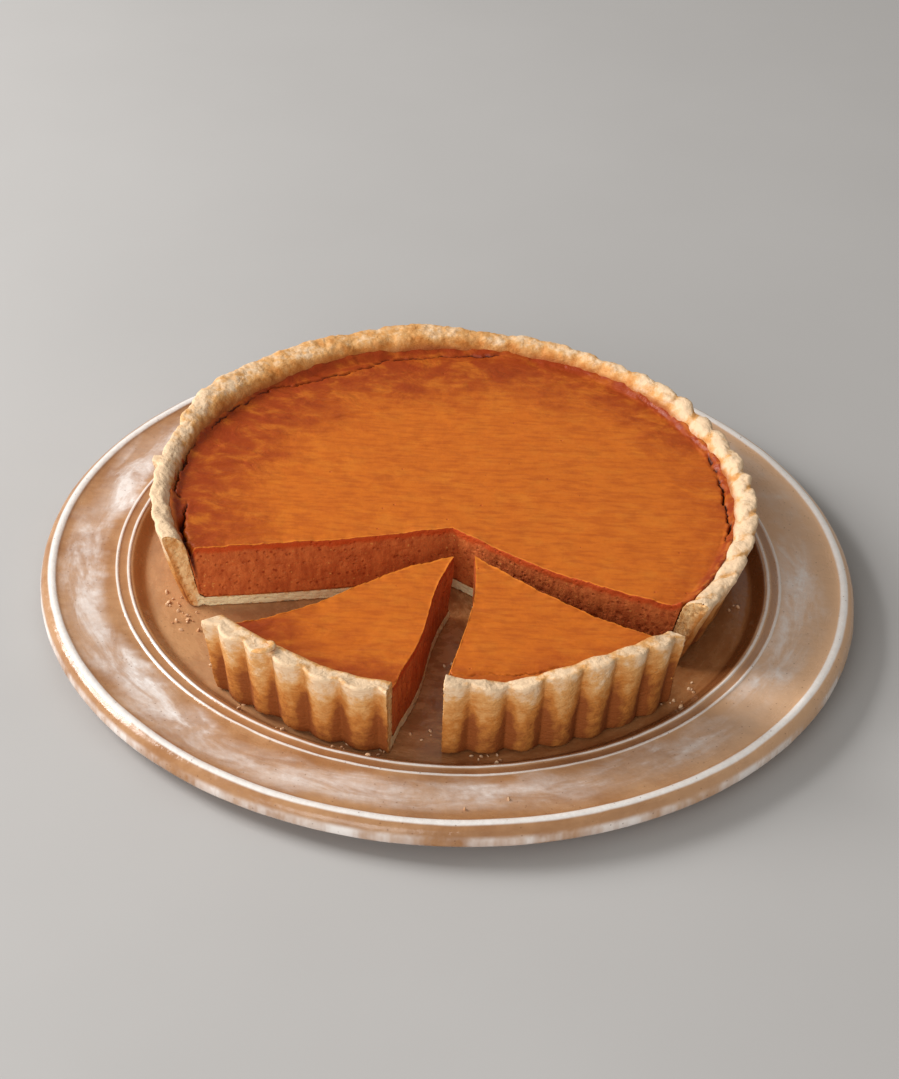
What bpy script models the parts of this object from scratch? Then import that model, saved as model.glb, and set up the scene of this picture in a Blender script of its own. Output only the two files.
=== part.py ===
"""Pumpkin pie in a fluted pastry case on a round stoneware plate, two slices cut and drawn out.

Units are metres and +Z is up. The origin is the middle of the plate, on the surface it stands on.
The big piece and the two slices are each a turned, fluted case with its filling, cut by knife
paths. Each is worked out in its own case's frame, whose origin is the middle of the underside.
"""

import math

import bmesh
import bpy

GAP = 0.0003  # clearance between solids that touch

# Plate
PLATE_RADIUS = 0.1657
PLATE_STEPS = 60
FLOOR_TOP = 0.0095  # the well floor's height above the table
FLOOR_RADIUS = 0.1238
WELL_LIP_RADIUS = 0.1286
RIM_TOP = 0.0141  # the flat rim's height
RING_RADII = (0.1302, 0.1348)  # two thin raised rings round the well
RING_HALF_WIDTH = 0.0008
RING_HEIGHT = 0.0006
RIDGE_RADIUS = 0.1608  # the broad raised ridge near the edge
RIDGE_HALF_WIDTH = 0.0018
RIDGE_HEIGHT = 0.0010
EDGE_DROP = 0.0055  # how far the rolled edge falls below the rim
LIP_THICKNESS = 0.0085
BODY_THICKNESS = 0.0060
FOOT_RADIUS = 0.1040
FOOT_WIDTH = 0.0060
FOOT_HEIGHT = 0.0032

# Pastry and filling, the same for every piece
PASTRY_FLOOR = 0.0042
FLUTES = 52
STEPS_PER_FLUTE = 5
FLUTE_DEPTH = 0.0024
RIM_ROUNDING = 0.0035  # height of the rounded part at the top of the wall
RIM_WAVES = ((3, 0.0005, 0.4), (7, 0.0006, 2.1), (13, 0.0004, 5.0))  # count, height, phase
RIM_WAVE_START = 0.018  # below this height the wall is even
FILLING_TOP = 0.0286
FILLING_STEPS = 104
COLLAR_WIDTH = 0.0060  # the band beside the pastry, where the filling stands a little higher
COLLAR_RISE = 0.0013

# Knife
CUT_STEPS = 8
KNIFE_REACH = 0.30
KNIFE_HALF_HEIGHT = 0.08

# Each piece: where its case's middle stands on the plate, its case's height and radii (the
# rim's and the base's are midway between a flute's crest and groove), and its tip and two cuts
# in its case's frame. A cut is its direction in degrees, its length from the tip to the pastry,
# and its bow and S-shaped sway out of the wedge.
PIECES = {
    "main": {
        "place": (0.0002, 0.0098),
        "height": 0.0345,
        "rim": 0.1228,
        "base": 0.1121,
        "inner_rim": 0.1132,
        "inner_floor": 0.1085,
        "tip": (0.0005, -0.0226),
        "cuts": ((192.2, 0.100, -0.0015, 0.0), (332.9, 0.100, -0.0050, 0.0)),
        "operation": "DIFFERENCE",
    },
    "slice_left": {
        "place": (-0.0033, -0.0074),
        "height": 0.0355,
        "rim": 0.1188,
        "base": 0.1138,
        "inner_rim": 0.1110,
        "inner_floor": 0.1096,
        "tip": (0.0053, -0.0248),
        "cuts": ((211.0, 0.094, -0.0006, 0.0025), (256.4, 0.075, 0.0, -0.0014)),
        "operation": "INTERSECT",
    },
    "slice_right": {
        "place": (0.0033, -0.0025),
        "height": 0.0355,
        "rim": 0.1173,
        "base": 0.1154,
        "inner_rim": 0.1104,
        "inner_floor": 0.1112,
        "tip": (0.0067, -0.0285),
        "cuts": ((263.7, 0.076, -0.0032, -0.0005), (326.4, 0.085, -0.0040, 0.0005)),
        "operation": "INTERSECT",
    },
}

# Colour and roughness of each material
FINISHES = {
    "crust": ((0.72, 0.50, 0.27, 1.0), 0.80),
    "filling": ((0.58, 0.20, 0.04, 1.0), 0.45),
    "plate": ((0.42, 0.26, 0.16, 1.0), 0.25),
}


def clear_scene():
    for obj in list(bpy.data.objects):
        bpy.data.objects.remove(obj, do_unlink=True)


def new_collection(name):
    made = bpy.data.collections.new(name)
    bpy.context.scene.collection.children.link(made)
    return made


def new_material(name):
    colour, roughness = FINISHES[name]
    made = bpy.data.materials.new(name)
    made.use_nodes = True
    shader = made.node_tree.nodes["Principled BSDF"]
    shader.inputs["Base Color"].default_value = colour
    shader.inputs["Roughness"].default_value = roughness
    shader.inputs["Metallic"].default_value = 0.0
    return made


def smooth_step(value, low, high):
    share = min(1.0, max(0.0, (value - low) / (high - low)))
    return share * share * (3.0 - 2.0 * share)


def mix(low, high, share):
    return low + (high - low) * share


def turned(name, profile, steps):
    """A solid of revolution about Z, from a profile that runs from the axis on top, out and down,
    and back to the axis underneath."""
    mesh = bpy.data.meshes.new(name)
    shape = bmesh.new()
    points = [shape.verts.new((radius, 0.0, height)) for radius, height in profile]
    for first, second in zip(points, points[1:]):
        shape.edges.new((first, second))
    shape.to_mesh(mesh)
    shape.free()
    source = bpy.data.objects.new(name + "_profile", mesh)
    bpy.context.scene.collection.objects.link(source)
    screw = source.modifiers.new("Turn", "SCREW")
    screw.steps = screw.render_steps = steps
    screw.use_merge_vertices = True
    screw.merge_threshold = 0.00001
    graph = bpy.context.evaluated_depsgraph_get()
    result = bpy.data.meshes.new_from_object(source.evaluated_get(graph))
    bpy.data.objects.remove(source, do_unlink=True)
    return result


def plate_profile():
    """The plate's section: flat floor, short well wall, two thin rings, flat rim, ridge, rolled
    edge, and underneath a ring foot."""
    points = [(0.0, FLOOR_TOP), (FLOOR_RADIUS, FLOOR_TOP), (WELL_LIP_RADIUS, RIM_TOP)]
    for ring in RING_RADII:
        points.append((ring - RING_HALF_WIDTH, RIM_TOP))
        points.append((ring, RIM_TOP + RING_HEIGHT))
        points.append((ring + RING_HALF_WIDTH, RIM_TOP))
    points.append((RIDGE_RADIUS - RIDGE_HALF_WIDTH, RIM_TOP))
    points.append((RIDGE_RADIUS, RIM_TOP + RIDGE_HEIGHT))
    points.append((RIDGE_RADIUS + RIDGE_HALF_WIDTH, RIM_TOP))
    points.append((PLATE_RADIUS - 0.0010, RIM_TOP - 0.5 * EDGE_DROP))
    points.append((PLATE_RADIUS, RIM_TOP - EDGE_DROP))
    points.append((PLATE_RADIUS - 0.0022, RIM_TOP - LIP_THICKNESS))
    points.append((WELL_LIP_RADIUS + 0.0020, RIM_TOP - BODY_THICKNESS))
    points.append((FLOOR_RADIUS - 0.0060, FLOOR_TOP - BODY_THICKNESS))
    points.append((FOOT_RADIUS + 0.0010, FOOT_HEIGHT))
    points.append((FOOT_RADIUS, 0.0))
    points.append((FOOT_RADIUS - FOOT_WIDTH, 0.0))
    points.append((FOOT_RADIUS - FOOT_WIDTH - 0.0010, FOOT_HEIGHT))
    points.append((0.0, FOOT_HEIGHT))
    return points


def outer_radius(case, height):
    """The flared outer wall's radius, midway between crest and groove."""
    return mix(case["base"], case["rim"], height / case["height"])


def inner_radius(case, height):
    share = (height - PASTRY_FLOOR) / (case["height"] - PASTRY_FLOOR)
    return mix(case["inner_floor"], case["inner_rim"], share)


def case_profile(case):
    """The pastry's section: thin floor, a wall that thickens upwards, and a rounded rim."""
    top = case["height"]
    shoulder = top - RIM_ROUNDING
    corner = PASTRY_FLOOR + 0.0020
    return [
        (0.0, PASTRY_FLOOR),
        (case["inner_floor"] - 0.0022, PASTRY_FLOOR),
        (inner_radius(case, corner), corner),
        (inner_radius(case, shoulder), shoulder),
        (mix(case["inner_rim"], case["rim"], 0.22), top - 0.0006),
        (mix(case["inner_rim"], case["rim"], 0.60), top),
        (mix(case["inner_rim"], case["rim"], 0.86), top - 0.0010),
        (outer_radius(case, shoulder) + 0.0003, shoulder),
        (outer_radius(case, 0.6 * top), 0.6 * top),
        (outer_radius(case, 0.0012), 0.0012),
        (case["base"] - 0.0012, 0.0),
        (0.0, 0.0),
    ]


def filling_profile(case):
    """The custard's section: level top, a collar that climbs the pastry, and the case's inside."""
    collar_top = FILLING_TOP + COLLAR_RISE
    corner = PASTRY_FLOOR + 0.0020
    return [
        (0.0, FILLING_TOP),
        (inner_radius(case, FILLING_TOP) - COLLAR_WIDTH, FILLING_TOP),
        (inner_radius(case, collar_top) - GAP, collar_top),
        (inner_radius(case, corner) - 1.2 * GAP, corner + GAP),
        (case["inner_floor"] - 0.0022 - 1.2 * GAP, PASTRY_FLOOR + GAP),
        (0.0, PASTRY_FLOOR + GAP),
    ]


def flute(mesh, case):
    """Moves the outer wall in and out once a flute, and lifts and lowers the rim a little."""
    for vertex in mesh.vertices:
        radius = math.hypot(vertex.co.x, vertex.co.y)
        height = vertex.co.z
        if radius < case["inner_floor"] / 2:
            continue
        angle = math.atan2(vertex.co.y, vertex.co.x)
        outwards = smooth_step(radius, inner_radius(case, height), outer_radius(case, height) - 0.0006)
        wave = 0.5 * FLUTE_DEPTH * math.cos(FLUTES * angle) * outwards
        vertex.co.x *= (radius + wave) / radius
        vertex.co.y *= (radius + wave) / radius
        lift = sum(tall * math.sin(count * angle + phase) for count, tall, phase in RIM_WAVES)
        vertex.co.z += lift * smooth_step(height, RIM_WAVE_START, case["height"])


def cut_path(tip, cut, outwards):
    """Points along a knife cut from its tip: straight but for a bow and an S-shaped sway.
    outwards is 1 where the cut's left side faces out of the wedge, and -1 where its right does."""
    angle, length, bow, sway = cut
    along = (math.cos(math.radians(angle)), math.sin(math.radians(angle)))
    aside = (-along[1] * outwards, along[0] * outwards)
    points = []
    for step in range(CUT_STEPS + 1):
        share = step / CUT_STEPS
        offset = bow * math.sin(math.pi * share) + sway * math.sin(2 * math.pi * share)
        reach = length * share
        points.append(tuple(tip[k] + reach * along[k] + offset * aside[k] for k in (0, 1)))
    points.append(tuple(tip[k] + KNIFE_REACH * along[k] for k in (0, 1)))
    return points


def wedge_outline(piece):
    """The outline seen from above between a piece's two cuts, out past the pastry."""
    tip = piece["tip"]
    first_cut, second_cut = piece["cuts"]
    middle = math.radians((first_cut[0] + second_cut[0]) / 2)
    far = (tip[0] + KNIFE_REACH * math.cos(middle), tip[1] + KNIFE_REACH * math.sin(middle))
    return cut_path(tip, first_cut, -1) + [far] + cut_path(tip, second_cut, 1)[:0:-1]


def knife_wedge(name, piece, cutters):
    """An upright prism between a piece's two cuts, as the cutter that parts it from the pie."""
    outline = wedge_outline(piece)
    curve = bpy.data.curves.new(name, "CURVE")
    curve.dimensions = "2D"
    curve.fill_mode = "BOTH"
    curve.extrude = KNIFE_HALF_HEIGHT
    spline = curve.splines.new("POLY")
    spline.points.add(len(outline) - 1)
    for point, (x, y) in zip(spline.points, outline):
        point.co = (x, y, 0.0, 1.0)
    spline.use_cyclic_u = True
    source = bpy.data.objects.new(name + "_outline", curve)
    bpy.context.scene.collection.objects.link(source)
    graph = bpy.context.evaluated_depsgraph_get()
    mesh = bpy.data.meshes.new_from_object(source.evaluated_get(graph))
    bpy.data.objects.remove(source, do_unlink=True)
    shape = bmesh.new()
    shape.from_mesh(mesh)
    bmesh.ops.remove_doubles(shape, verts=shape.verts, dist=0.00001)
    bmesh.ops.recalc_face_normals(shape, faces=shape.faces)
    shape.to_mesh(mesh)
    shape.free()
    cutter = bpy.data.objects.new(name, mesh)
    cutter.hide_render = True
    cutter.display_type = "WIRE"
    cutters.objects.link(cutter)
    return cutter


def add_solid(name, mesh, material, collection):
    obj = bpy.data.objects.new(name, mesh)
    mesh.materials.clear()
    mesh.materials.append(material)
    mesh.shade_smooth()
    mesh.set_sharp_from_angle(angle=math.radians(35.0))
    collection.objects.link(obj)
    return obj


def add_piece(name, piece, materials, collection, cutters):
    """One piece of the pie: its pastry and its filling, cut by the same knife wedge."""
    place = bpy.data.objects.new(name + "_place", None)
    place.location = (*piece["place"], FLOOR_TOP + GAP)
    collection.objects.link(place)
    cutter = knife_wedge(name + "_knife", piece, cutters)
    cutter.parent = place
    case = turned("crust_" + name, case_profile(piece), FLUTES * STEPS_PER_FLUTE)
    flute(case, piece)
    filling = turned("filling_" + name, filling_profile(piece), FILLING_STEPS)
    for kind, mesh in (("crust", case), ("filling", filling)):
        obj = add_solid(f"{kind}_{name}", mesh, materials[kind], collection)
        obj.parent = place
        cut = obj.modifiers.new("Knife", "BOOLEAN")
        cut.operation = piece["operation"]
        cut.object = cutter


def main():
    clear_scene()
    pie = new_collection("pumpkin_pie")
    cutters = new_collection("cutters")
    cutters.hide_render = True
    materials = {name: new_material(name) for name in FINISHES}
    add_solid("plate", turned("plate", plate_profile(), PLATE_STEPS), materials["plate"], pie)
    for name, piece in PIECES.items():
        add_piece(name, piece, materials, pie, cutters)


main()
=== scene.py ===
import math

import bmesh
import bpy
import numpy as np
from mathutils import Matrix, Vector


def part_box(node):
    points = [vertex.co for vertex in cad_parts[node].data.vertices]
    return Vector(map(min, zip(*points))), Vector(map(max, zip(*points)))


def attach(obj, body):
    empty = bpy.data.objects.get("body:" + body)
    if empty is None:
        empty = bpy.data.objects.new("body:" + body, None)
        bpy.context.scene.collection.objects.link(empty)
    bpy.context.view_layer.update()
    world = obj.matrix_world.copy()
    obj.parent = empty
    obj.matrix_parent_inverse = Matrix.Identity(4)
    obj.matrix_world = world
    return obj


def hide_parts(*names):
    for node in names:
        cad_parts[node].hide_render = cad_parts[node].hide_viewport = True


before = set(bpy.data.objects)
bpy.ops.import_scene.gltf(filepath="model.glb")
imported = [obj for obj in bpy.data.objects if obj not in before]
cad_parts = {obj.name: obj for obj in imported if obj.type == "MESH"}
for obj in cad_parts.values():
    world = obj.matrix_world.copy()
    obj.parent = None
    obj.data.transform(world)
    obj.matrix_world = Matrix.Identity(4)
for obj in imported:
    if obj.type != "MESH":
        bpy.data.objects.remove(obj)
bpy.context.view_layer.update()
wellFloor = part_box("crust_main")[0].z  # the pastry stands here, just clear of the well floor
print("frame loaded:", len(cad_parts), "nodes")


# numbers and tables

def smoothStep(value, low, high):
    share = np.clip((value - low) / (high - low), 0.0, 1.0)
    return share * share * (3.0 - 2.0 * share)


def aroundTable(angle, table):
    # value at an angle in radians, from (degrees, value) pairs joined smoothly round the circle
    keys = np.array(sorted(table), float)
    keys = np.vstack([[keys[-1, 0] - 360.0, keys[-1, 1]], keys, [keys[0, 0] + 360.0, keys[0, 1]]])
    turn = (np.degrees(angle) - keys[0, 0]) % 360.0 + keys[0, 0]
    spot = np.clip(np.searchsorted(keys[:, 0], turn, side="right") - 1, 0, len(keys) - 2)
    low, high = keys[spot], keys[spot + 1]
    share = smoothStep(turn, low[..., 0], high[..., 0])
    return low[..., 1] + (high[..., 1] - low[..., 1]) * share


def ragged(angle, seed, fineness=1.0):
    # an uneven line between about -1 and 1, the same each run
    dice = np.random.default_rng(seed)
    total = np.zeros_like(angle)
    for count, size in ((5, 0.5), (11, 0.35), (23, 0.3), (47, 0.22), (89, 0.16), (151, 0.1)):
        total += size * np.sin(round(count * fineness) * angle + dice.uniform(0, 2 * math.pi))
    return total


# building meshes

def gridFaces(rows, columns, first):
    a = (np.arange(rows - 1)[:, None] * columns + np.arange(columns - 1)[None, :] + first).ravel()
    return np.stack([a, a + 1, a + columns + 1, a + columns], axis=1)


def closedMesh(name, sheets, caps):
    # sheets: (points, face mark, point values); caps: rings of points filled flat
    points, quads, marks, values = [], [], [], {}
    count = 0
    for sheet, mark, extras in sheets:
        rows, columns = sheet.shape[:2]
        points.append(sheet.reshape(-1, 3))
        quads.append(gridFaces(rows, columns, count))
        marks.append(np.full((rows - 1) * (columns - 1), mark, np.float32))
        for key in extras:
            values.setdefault(key, []).append((count, extras[key].reshape(-1)))
        count += rows * columns
    rings = []
    for ring in caps:
        points.append(ring)
        rings.append(list(range(count, count + len(ring))))
        marks.append(np.zeros(1, np.float32))
        count += len(ring)
    points = np.vstack(points)
    mesh = bpy.data.meshes.new(name)
    mesh.from_pydata(points.tolist(), [], np.vstack(quads).tolist() + rings)
    layer = mesh.attributes.new("cutFace", "FLOAT", "FACE")
    layer.data.foreach_set("value", np.concatenate(marks))
    for key, parts in values.items():
        whole = np.zeros(count, np.float32)
        for start, part in parts:
            whole[start:start + len(part)] = part
        mesh.attributes.new(key, "FLOAT", "POINT").data.foreach_set("value", whole)
    shape = bmesh.new()
    shape.from_mesh(mesh)
    bmesh.ops.remove_doubles(shape, verts=shape.verts, dist=0.000003)
    bmesh.ops.dissolve_degenerate(shape, edges=shape.edges, dist=0.000001)
    big = [face for face in shape.faces if len(face.verts) > 8]
    bmesh.ops.triangulate(shape, faces=big)
    bmesh.ops.recalc_face_normals(shape, faces=shape.faces)
    shape.to_mesh(mesh)
    shape.free()
    return mesh


def addObject(name, mesh):
    obj = bpy.data.objects.new(name, mesh)
    bpy.context.scene.collection.objects.link(obj)
    return obj


# building node trees: a Value is one output of a node, so a tree's sums are written as sums

class Value:
    def __init__(self, socket):
        self.socket = socket

    def __add__(self, other):
        return calc("ADD", self, other)

    def __radd__(self, other):
        return calc("ADD", other, self)

    def __sub__(self, other):
        return calc("SUBTRACT", self, other)

    def __rsub__(self, other):
        return calc("SUBTRACT", other, self)

    def __mul__(self, other):
        return calc("MULTIPLY", self, other)

    def __rmul__(self, other):
        return calc("MULTIPLY", other, self)

    def __rtruediv__(self, other):
        return calc("DIVIDE", other, self)

    def __pow__(self, other):
        return calc("POWER", self, other)

    def __abs__(self):
        return calc("ABSOLUTE", self)


def treeOf(*values):
    return next(value.socket.id_data for value in values if isinstance(value, Value))


def feed(socket, value):
    if isinstance(value, Value):
        socket.id_data.links.new(value.socket, socket)
    else:
        socket.default_value = value


def addNode(tree, kind, settings=None, inputs=None):
    node = tree.nodes.new(kind)
    for key, value in (settings or {}).items():
        setattr(node, key, value)
    for key, value in (inputs or {}).items():
        feed(node.inputs[key], value)
    return node


def output(tree, kind, settings=None, inputs=None, out=0):
    return Value(addNode(tree, kind, settings, inputs).outputs[out])


def calc(operation, *values):
    return output(treeOf(*values), "ShaderNodeMath", {"operation": operation}, dict(enumerate(values)))


def vectorCalc(operation, *values):
    places = (0, 3) if operation == "SCALE" else (0, 1)
    out = 1 if operation in ("LENGTH", "DOT_PRODUCT") else 0
    return output(treeOf(*values), "ShaderNodeVectorMath", {"operation": operation},
                  dict(zip(places, values)), out)


def stretched(vector, x, y, z):
    return vectorCalc("MULTIPLY", vector, (x, y, z))


def axes(vector):
    node = addNode(treeOf(vector), "ShaderNodeSeparateXYZ", None, {0: vector})
    return [Value(socket) for socket in node.outputs]


def joined(x, y, z):
    return output(treeOf(x, y, z), "ShaderNodeCombineXYZ", None, {0: x, 1: y, 2: z})


def limited(value):  # kept between 0 and 1
    return output(treeOf(value), "ShaderNodeClamp", None, {"Value": value})


def spread(value, low, high, outLow=0.0, outHigh=1.0, smooth=True):
    # the value's place between low and high, as a number from outLow to outHigh
    return output(treeOf(value), "ShaderNodeMapRange",
                  {"interpolation_type": "SMOOTHSTEP" if smooth else "LINEAR"},
                  {"Value": value, "From Min": low, "From Max": high, "To Min": outLow, "To Max": outHigh})


def noise(vector, scale, detail=3.0, roughness=0.55, distortion=0.0, seed=None):
    inputs = {"Vector": vector, "Scale": scale, "Detail": detail, "Roughness": roughness,
              "Distortion": distortion}
    if seed is not None:
        inputs["W"] = seed
    settings = {"noise_dimensions": "3D" if seed is None else "4D"}
    return output(treeOf(vector), "ShaderNodeTexNoise", settings, inputs)


def cells(vector, scale):
    return output(treeOf(vector), "ShaderNodeTexVoronoi", None, {"Vector": vector, "Scale": scale},
                  "Distance")


def mixColour(factor, first, second):
    low, high = [(*colour, 1.0) if isinstance(colour, tuple) else colour for colour in (first, second)]
    return output(treeOf(factor), "ShaderNodeMix", {"data_type": "RGBA"}, {0: factor, 6: low, 7: high}, 2)


def named(tree, label):  # a value kept on the mesh's points, read in a Geometry Nodes tree
    return output(tree, "GeometryNodeInputNamedAttribute", {"data_type": "FLOAT"}, {"Name": label},
                  "Attribute")


def kept(tree, label):  # the same value, read in a material
    return output(tree, "ShaderNodeAttribute", {"attribute_name": label}, None, "Fac")


def moved(geometry, offset):
    return output(treeOf(geometry), "GeometryNodeSetPosition", None, {"Geometry": geometry, "Offset": offset})


def raised(geometry, height):  # moved along its own normals
    normal = output(treeOf(geometry), "GeometryNodeInputNormal")
    return moved(geometry, vectorCalc("SCALE", normal, height))


def realized(geometry):
    return output(treeOf(geometry), "GeometryNodeRealizeInstances", None, {0: geometry})


def newTree(name, kind, inputs, outputs):
    # inputs and outputs: the sockets' labels, by their kind
    tree = bpy.data.node_groups.new(name, kind)
    for side, sockets in (("INPUT", inputs), ("OUTPUT", outputs)):
        for socketKind, labels in sockets.items():
            for label in labels.split(", "):
                tree.interface.new_socket(label, in_out=side, socket_type="NodeSocket" + socketKind)
    given = tree.nodes.new("NodeGroupInput").outputs
    result = tree.nodes.new("NodeGroupOutput").inputs
    return tree, {socket.name: Value(socket) for socket in given if socket.name}, result


def surfaceTree(name, numbers, others=None):
    return newTree(name, "GeometryNodeTree",
                   {"Geometry": "Mesh", "Float": numbers, **(others or {}), "Material": "Finish"},
                   {"Geometry": "Mesh"})


def finishTree(tree, given, result, geometry):
    done = output(tree, "GeometryNodeSetMaterial", None, {
        "Geometry": realized(geometry), "Material": given["Finish"]})
    feed(result["Mesh"], done)
    return tree


def runTree(obj, tree, *tables):
    # reshapes a mesh for good; the input "Lump Size" takes "lumpSize" from the first table with it
    modifier = obj.modifiers.new(tree.name, "NODES")
    modifier.node_group = tree
    for item in tree.interface.items_tree:
        if item.in_out == "INPUT" and item.name != "Mesh":
            key = item.name[0].lower() + item.name[1:].replace(" ", "")
            value = next(table[key] for table in tables if key in table)
            modifier[item.identifier] = float(value) if item.socket_type == "NodeSocketFloat" else value
    graph = bpy.context.evaluated_depsgraph_get()
    made = bpy.data.meshes.new_from_object(
        obj.evaluated_get(graph), preserve_all_data_layers=True, depsgraph=graph)
    old = obj.data
    obj.modifiers.clear()
    obj.data = made
    made.name = obj.name
    bpy.data.meshes.remove(old)
    made.shade_smooth()


# the knife cuts and the plan of each piece

# Where each case's middle stands on the plate, its sizes, and its tip and two cuts in its own
# frame: a cut is its direction in degrees, its length to the pastry, and its bow and S-shaped
# sway to the left of that direction. The piece lies between "start" and "end", anticlockwise.
# The tables go by angle in degrees: how far the flutes reach the rim, how much darker or lighter the
# crust is made there and how rope-like it is, and in mm how far it stands out, in and up. A tab or a notch is
# its angle, half width in degrees and size.
pieceShapes = {
    "main": {
        "place": (0.0002, 0.0098), "height": 0.0345, "rim": 0.1228, "base": 0.1121,
        "innerRim": 0.1132, "innerFloor": 0.1085, "tip": (0.0005, -0.0226),
        "start": (332.9, 0.100, -0.0050, 0.0), "end": (552.2, 0.100, 0.0015, 0.0),
        "cutFade": 0.35, "steps": 640, "innerDrop": 0.0044, "crisp": 0.0,
        "rimFlute": ((-160, 0.10), (180, 0.22), (150, 0.36), (120, 0.30), (90, 0.26), (60, 0.40),
                     (30, 0.50), (-30, 0.50)),
        "tab": (175.6, 1.35, 0.0032), "lumpHeight": 0.0032,
        "toasted": ((-160, -0.18), (180, -0.14), (150, 0.12), (120, 0.24), (90, 0.22), (60, 0.10),
                    (35, -0.03), (-30, -0.06)),
        "rope": ((-160, 0.10), (-175, 0.3), (160, 0.15), (120, 0.20), (90, 0.20), (65, 0.35),
                 (40, 0.7), (10, 0.9), (-35, 1.0)),
        "outerLumps": ((-167, -0.6), (169, -2.4), (147, 1.2), (126, 1.6), (103, 2.4), (86, -1.2),
                       (77, 0.0), (48, -2.6), (31, -1.8), (11, -0.6), (-8, 0.6), (-29, 0.8)),
        "innerLumps": ((-165, 0.6), (165, -0.6), (135, -3.2), (100, -2.0), (65, 1.2), (30, 0.4),
                       (5, 1.8), (-25, 0.8)),
        "rimLift": ((-160, 0.0), (135, 0.6), (90, 1.0), (45, 0.4), (-20, -0.3)),
        "seed": 3,
    },
    "slice_left": {
        "place": (-0.0033, -0.0074), "height": 0.0355, "rim": 0.1188, "base": 0.1138,
        "innerRim": 0.1110, "innerFloor": 0.1096, "tip": (0.0053, -0.0248),
        "start": (211.0, 0.094, 0.0006, -0.0025), "end": (256.4, 0.075, 0.0, -0.0014),
        "cutFade": 1.0, "steps": 220, "innerDrop": 0.0011, "rimFlute": ((0, 1.0),), "crisp": 1.0,
        "rope": ((-130, 0.0),), "tipWear": 0.0045, "notch": (-121.3, 4.2, 0.0030),
        "lumpHeight": 0.0010, "toasted": ((-130, 0.0),),
        "outerLumps": ((-155, 0.6), (-130, 0.0), (-105, 0.0)),
        "innerLumps": ((-150, 0.3), (-128, -0.8), (-105, 0.4)),
        "rimLift": ((-150, 0.2), (-140, 0.4), (-120, 0.0), (-108, -1.6), (-104, -2.4)),
        "seed": 5,
    },
    "slice_right": {
        "place": (0.0033, -0.0025), "height": 0.0355, "rim": 0.1173, "base": 0.1154,
        "innerRim": 0.1104, "innerFloor": 0.1112, "tip": (0.0067, -0.0285),
        "start": (263.7, 0.076, 0.0032, 0.0005), "end": (326.4, 0.085, -0.0040, 0.0005),
        "cutFade": 1.0, "steps": 280, "innerDrop": 0.0014, "rimFlute": ((0, 0.95),), "crisp": 0.55,
        "rope": ((-70, 0.30),), "tipWear": 0.0008, "lumpHeight": 0.0014,
        "toasted": ((-96, -0.06), (-80, 0.02), (-45, 0.06)),
        "outerLumps": ((-95, 0.0), (-70, 0.2), (-44, 1.6)),
        "innerLumps": ((-95, 0.0), (-78, 1.0), (-60, 0.2), (-42, 0.8)),
        "rimLift": ((-96, -0.4), (-88, -1.0), (-79, -2.2), (-70, -0.4), (-60, 1.4), (-50, 0.6),
                    (-42, -1.0)),
        "seed": 8,
    },
}
pastryFloor = 0.0042
fillingTop = 0.0286
pieGap = 0.0003
pressedIn = 0.0014  # how far the custard's top edge sits in the pastry, away from the cuts
cutLength = 0.09  # about the length of a cut


def knifeAngle(tip, degrees, radius):
    # the angle about the case's middle where a straight cut from the tip meets a radius
    alongX, alongY = math.cos(math.radians(degrees)), math.sin(math.radians(degrees))
    dot = tip[0] * alongX + tip[1] * alongY
    reach = -dot + np.sqrt(dot * dot - tip[0] ** 2 - tip[1] ** 2 + radius ** 2)
    return np.arctan2(tip[1] + reach * alongY, tip[0] + reach * alongX)


def wallAngle(shape, across, radius):
    # across runs 0 to 1 from the start cut to the end cut
    start = knifeAngle(shape["tip"], shape["start"][0], radius)
    end = knifeAngle(shape["tip"], shape["end"][0], radius)
    return start + across * ((end - start) % (2 * math.pi))


def wallPlan(shape, across, radius):
    angle = wallAngle(shape, across, radius)
    return radius * np.cos(angle), radius * np.sin(angle)


def insidePlan(shape, across, share, radius):
    # share runs 0 to 1 from the tip to the pastry's inside at that radius
    tip = shape["tip"]
    wallX, wallY = wallPlan(shape, across, radius)
    reach = share * np.hypot(wallX - tip[0], wallY - tip[1])
    x = tip[0] + share * (wallX - tip[0])
    y = tip[1] + share * (wallY - tip[1])
    fade = shape["cutFade"]
    for key, weight in (("start", 1.0 - across / fade), ("end", 1.0 - (1.0 - across) / fade)):
        degrees, length, bow, sway = shape[key]
        weight = np.clip(weight, 0.0, 1.0)
        weight = weight if fade == 1.0 else weight * weight
        part = np.clip(reach / length, 0.0, 1.0)
        aside = (bow * np.sin(math.pi * part) + sway * np.sin(2 * math.pi * part)) * weight
        x = x - math.sin(math.radians(degrees)) * aside
        y = y + math.cos(math.radians(degrees)) * aside
    return x, y


def resample(line, count):
    line = np.array(line, float)
    travelled = np.concatenate([[0.0], np.cumsum(np.hypot(*np.diff(line, axis=0).T))])
    spots = np.linspace(0.0, travelled[-1], count)
    return np.stack([np.interp(spots, travelled, line[:, k]) for k in (0, 1)], axis=1)


def rounded(line, passes):
    line = np.array(line, float)
    for _ in range(passes):  # cuts each corner at a quarter and three quarters
        near = 0.75 * line[:-1] + 0.25 * line[1:]
        far = 0.25 * line[:-1] + 0.75 * line[1:]
        line = np.vstack([line[:1], np.stack([near, far], axis=1).reshape(-1, 2), line[-1:]])
    return line


# pastry cases

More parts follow.
